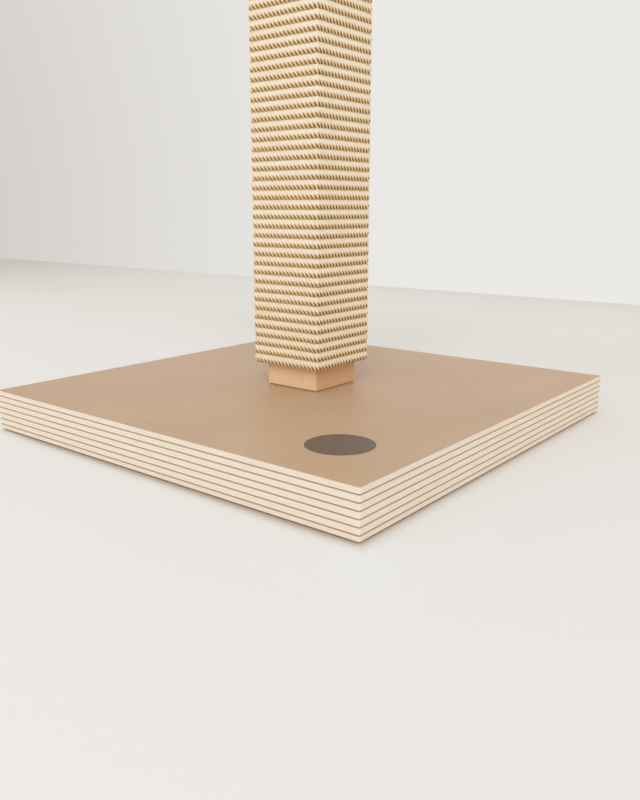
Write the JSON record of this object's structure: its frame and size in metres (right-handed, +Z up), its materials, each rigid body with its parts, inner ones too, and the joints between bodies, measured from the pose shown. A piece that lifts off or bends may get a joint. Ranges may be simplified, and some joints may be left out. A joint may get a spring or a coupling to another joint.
{
  "type": "cat scratching post",
  "caption": "Square post wound with sisal rope, bare wood at both ends, standing upright in the middle of a flat square layered board on thin foot pads.",
  "frame": {"origin": "on the floor under the middle of the board", "axes": "+Z up along the post; -Y is the board's front edge, seen on the left in the picture; +X is the side seen on the right, and the round inlay lies towards +X and -Y"},
  "size_m": [0.4, 0.4, 0.7977],
  "materials": {
    "ply_wood": "satin",
    "dark_veneer": "satin",
    "brown_film": "satin",
    "dark_inlay": "satin",
    "pad_rubber": "matte",
    "gasket_rubber": "matte",
    "post_wood": "satin",
    "dowel_wood": "matte",
    "insert_brass": "machined",
    "zinc_steel": "zinc plated",
    "sisal_rope": "matte"
  },
  "bodies": {
    "root": {"base_ply_1": "ply_wood", "base_ply_2": "ply_wood", "base_ply_3": "ply_wood", "base_ply_4": "ply_wood", "base_ply_5": "ply_wood", "base_ply_6": "ply_wood", "base_ply_7": "ply_wood", "base_dark_veneer_1": "dark_veneer", "base_dark_veneer_2": "dark_veneer", "base_dark_veneer_3": "dark_veneer", "base_dark_veneer_4": "dark_veneer", "base_dark_veneer_5": "dark_veneer", "base_dark_veneer_6": "dark_veneer", "base_top_film": "brown_film", "base_underside_film": "brown_film", "round_inlay": "dark_inlay", "foot_pad_front_left": "pad_rubber", "foot_pad_front_right": "pad_rubber", "foot_pad_rear_right": "pad_rubber", "foot_pad_rear_left": "pad_rubber", "post_gasket": "gasket_rubber", "post_core": "post_wood", "dowel_left": "dowel_wood", "dowel_right": "dowel_wood", "threaded_insert": "insert_brass", "post_bolt": "zinc_steel", "bolt_washer": "zinc_steel", "rope_lower_turns": "sisal_rope", "rope_upper_turns": "sisal_rope"}
  },
  "joints": []
}
